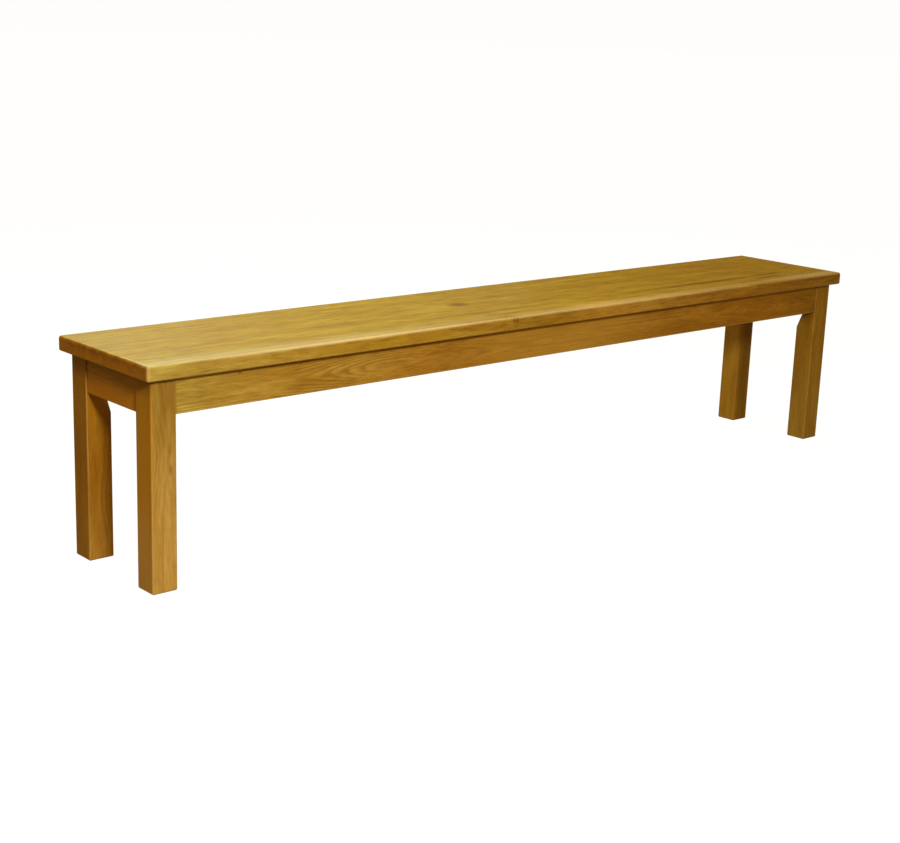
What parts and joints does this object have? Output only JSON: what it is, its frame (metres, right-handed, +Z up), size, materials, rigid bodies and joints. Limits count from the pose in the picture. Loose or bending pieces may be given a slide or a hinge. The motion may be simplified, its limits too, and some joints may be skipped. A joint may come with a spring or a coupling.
{
  "type": "farmhouse bench",
  "caption": "Long rustic farmhouse bench: glued-up oak plank seat with rounded edges on square legs, joined by plain aprons with bolted corner blocks.",
  "frame": {"origin": "on the floor, under the middle of the seat", "axes": "+X along the bench to the right-hand end as seen from the front, +Y from the front to the back, +Z up"},
  "size_m": [2.1, 0.335, 0.45],
  "materials": {
    "seat_oak": "satin lacquer on honey-stained oak",
    "apron_oak": "satin lacquer on honey-stained oak",
    "leg_oak": "satin lacquer on honey-stained oak",
    "hidden_wood": "planed, thin lacquer",
    "dowel_wood": "bare beech",
    "zinc_steel": "bright zinc plate"
  },
  "bodies": {
    "root": {"seat_stave_1_left": "seat_oak", "seat_stave_1_right": "seat_oak", "seat_stave_2": "seat_oak", "seat_stave_3": "seat_oak", "seat_stave_4": "seat_oak", "seat_stave_5": "seat_oak", "seat_stave_6": "seat_oak", "seat_stave_7": "seat_oak", "front_apron": "apron_oak", "back_apron": "apron_oak", "left_apron": "apron_oak", "right_apron": "apron_oak", "leg_front_left": "leg_oak", "leg_front_right": "leg_oak", "leg_back_left": "leg_oak", "leg_back_right": "leg_oak", "corner_block_front_left": "hidden_wood", "corner_block_front_right": "hidden_wood", "corner_block_back_left": "hidden_wood", "corner_block_back_right": "hidden_wood", "cross_rail_left": "hidden_wood", "cross_rail_right": "hidden_wood", "cross_rail_dowels": "dowel_wood", "seat_buttons": "hidden_wood", "hanger_bolts": "zinc_steel", "hanger_washers": "zinc_steel", "hanger_nuts": "zinc_steel", "corner_block_screws": "zinc_steel", "rail_seat_screws": "zinc_steel", "seat_button_screws": "zinc_steel"}
  },
  "joints": []
}
